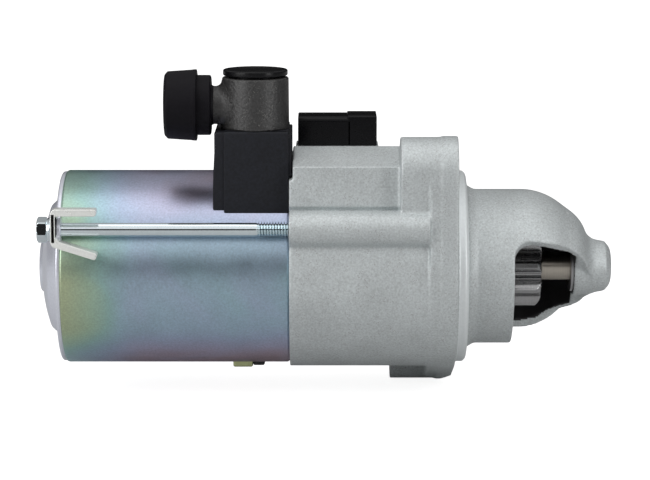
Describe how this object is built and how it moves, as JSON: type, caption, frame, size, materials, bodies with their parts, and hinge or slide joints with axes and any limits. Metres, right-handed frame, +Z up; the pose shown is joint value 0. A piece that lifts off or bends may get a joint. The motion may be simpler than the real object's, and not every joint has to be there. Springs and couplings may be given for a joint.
{
  "type": "starter motor",
  "caption": "Gear-reduction starter motor with a coaxial solenoid, sliding pinion in a windowed nose, two-eared flange, capped terminal tower and side socket.",
  "frame": {"origin": "shaft axis at the mounting flange's front face, the centre of the pilot", "axes": "+X along the shaft towards the pinion nose, +Z up through the terminal tower"},
  "size_m": [0.2075, 0.0788, 0.1207],
  "materials": {
    "cast_aluminium": "bead-blasted die-cast aluminium, pilot face machined",
    "zinc_tube": "steel tube with iridescent trivalent zinc plating",
    "zinc_cover": "pressed steel with bluish zinc plating",
    "bright_zinc": "bright zinc-plated fastener steel",
    "olive_zinc": "olive zinc-plated steel",
    "pinion_steel": "case-hardened dark steel",
    "shaft_steel": "ground shaft steel, lightly oiled",
    "clutch_steel": "machined steel",
    "spring_steel": "spring steel wire",
    "bronze": "sintered oil-soaked bronze",
    "copper": "copper",
    "laminations": "varnished electrical steel laminations",
    "ferrite": "sintered ferrite",
    "graphite": "copper-graphite brush",
    "phenolic": "phenolic moulding",
    "block_plastic": "matte moulded polymer",
    "tower_plastic": "textured moulded polymer",
    "lid_plastic": "glossy moulded lid",
    "cap_rubber": "soft moulded cap",
    "connector_plastic": "glossy moulded connector",
    "seal_rubber": "moulded rubber"
  },
  "bodies": {
    "root": {"bearing_plate": "olive_zinc", "bolt_clips": "bright_zinc", "brush_holder": "phenolic", "brush_springs": "spring_steel", "bus_bar": "copper", "connector_blade": "copper", "connector_shell": "connector_plastic", "contact_holder": "phenolic", "contact_spring": "spring_steel", "drain_clip": "olive_zinc", "drain_cover": "seal_rubber", "drive_housing": "cast_aluminium", "end_cover": "zinc_cover", "field_magnets": "ferrite", "fixed_contact": "copper", "gear_cover": "olive_zinc", "nose_bush": "bronze", "nose_washer": "clutch_steel", "plunger_spring": "spring_steel", "rear_bush": "bronze", "ring_gear": "clutch_steel", "shaft_bush": "bronze", "solenoid_bobbin": "phenolic", "solenoid_case": "olive_zinc", "solenoid_coil": "copper", "solenoid_core": "clutch_steel", "terminal_block": "block_plastic", "terminal_nut": "bright_zinc", "terminal_stud": "copper", "terminal_tower": "tower_plastic", "terminal_washer": "bright_zinc", "through_bolts": "bright_zinc", "tower_lid": "lid_plastic", "yoke": "zinc_tube"},
    "armature": {"armature_shaft": "shaft_steel", "armature_core": "laminations", "armature_windings": "copper", "commutator": "copper", "commutator_hub": "phenolic", "sun_gear": "clutch_steel"},
    "output": {"output_shaft": "shaft_steel", "planet_pins": "shaft_steel", "front_bush": "bronze"},
    "planet_1": {"planet_gear_1": "clutch_steel"},
    "planet_2": {"planet_gear_2": "clutch_steel"},
    "planet_3": {"planet_gear_3": "clutch_steel"},
    "plunger": {"plunger": "clutch_steel"},
    "contact": {"contact_rod": "shaft_steel", "contact_plate": "copper"},
    "drive": {"clutch_outer": "clutch_steel", "clutch_rollers": "shaft_steel", "clutch_springs": "spring_steel", "clutch_cover": "bright_zinc"},
    "pinion": {"pinion": "pinion_steel", "pinion_bush": "bronze"},
    "brush_1": {"brush_1": "graphite"},
    "brush_2": {"brush_2": "graphite"},
    "brush_3": {"brush_3": "graphite"},
    "brush_4": {"brush_4": "graphite"},
    "cap": {"protective_cap": "cap_rubber"}
  },
  "joints": [
    {"name": "armature_spin", "type": "hinge", "parent": "root", "child": "armature", "pos_m": [-0.1, 0, 0], "axis": [1, 0, 0], "continuous": true},
    {"name": "output_spin", "type": "hinge", "parent": "root", "child": "output", "pos_m": [-0.04, 0, 0], "axis": [1, 0, 0], "continuous": true},
    {"name": "planet_1_spin", "type": "hinge", "parent": "output", "child": "planet_1", "pos_m": [-0.0544, 0.01299, 0.0075], "axis": [1, 0, 0], "continuous": true},
    {"name": "planet_2_spin", "type": "hinge", "parent": "output", "child": "planet_2", "pos_m": [-0.0544, -0.01299, 0.0075], "axis": [1, 0, 0], "continuous": true},
    {"name": "planet_3_spin", "type": "hinge", "parent": "output", "child": "planet_3", "pos_m": [-0.0544, 0, -0.015], "axis": [1, 0, 0], "continuous": true},
    {"name": "plunger_slide", "type": "slide", "parent": "root", "child": "plunger", "axis": [1, 0, 0], "range_m": [0, 0.01], "stiffness_N_per_m": 900, "springref_m": -0.012, "deforming": ["plunger_spring"]},
    {"name": "drive_slide", "type": "slide", "parent": "output", "child": "drive", "axis": [1, 0, 0], "range_m": [0, 0.01]},
    {"name": "contact_slide", "type": "slide", "parent": "root", "child": "contact", "axis": [1, 0, 0], "range_m": [0, 0.0022], "deforming": ["contact_spring"]},
    {"name": "pinion_overrun", "type": "hinge", "parent": "drive", "child": "pinion", "pos_m": [0.02, 0, 0], "axis": [1, 0, 0], "continuous": true},
    {"name": "cap_pull", "type": "slide", "parent": "root", "child": "cap", "axis": [-1, 0, 0], "range_m": [0, 0.03]},
    {"name": "brush_1_slide", "type": "slide", "parent": "root", "child": "brush_1", "axis": [0, 0.7071, 0.7071], "range_m": [0, 0.004], "stiffness_N_per_m": 300, "springref_m": -0.004, "deforming": ["brush_springs"]},
    {"name": "brush_2_slide", "type": "slide", "parent": "root", "child": "brush_2", "axis": [0, -0.7071, 0.7071], "range_m": [0, 0.004], "stiffness_N_per_m": 300, "springref_m": -0.004, "deforming": ["brush_springs"]},
    {"name": "brush_3_slide", "type": "slide", "parent": "root", "child": "brush_3", "axis": [0, -0.7071, -0.7071], "range_m": [0, 0.004], "stiffness_N_per_m": 300, "springref_m": -0.004, "deforming": ["brush_springs"]},
    {"name": "brush_4_slide", "type": "slide", "parent": "root", "child": "brush_4", "axis": [0, 0.7071, -0.7071], "range_m": [0, 0.004], "stiffness_N_per_m": 300, "springref_m": -0.004, "deforming": ["brush_springs"]}
  ],
  "couplings": [
    {"joint": "output_spin", "follows": "armature_spin", "ratio": 0.2},
    {"joint": "planet_1_spin", "follows": "armature_spin", "ratio": -0.53333},
    {"joint": "planet_2_spin", "follows": "armature_spin", "ratio": -0.53333},
    {"joint": "planet_3_spin", "follows": "armature_spin", "ratio": -0.53333},
    {"joint": "drive_slide", "follows": "plunger_slide", "ratio": 1},
    {"joint": "contact_slide", "follows": "plunger_slide", "ratio": 0.22}
  ]
}
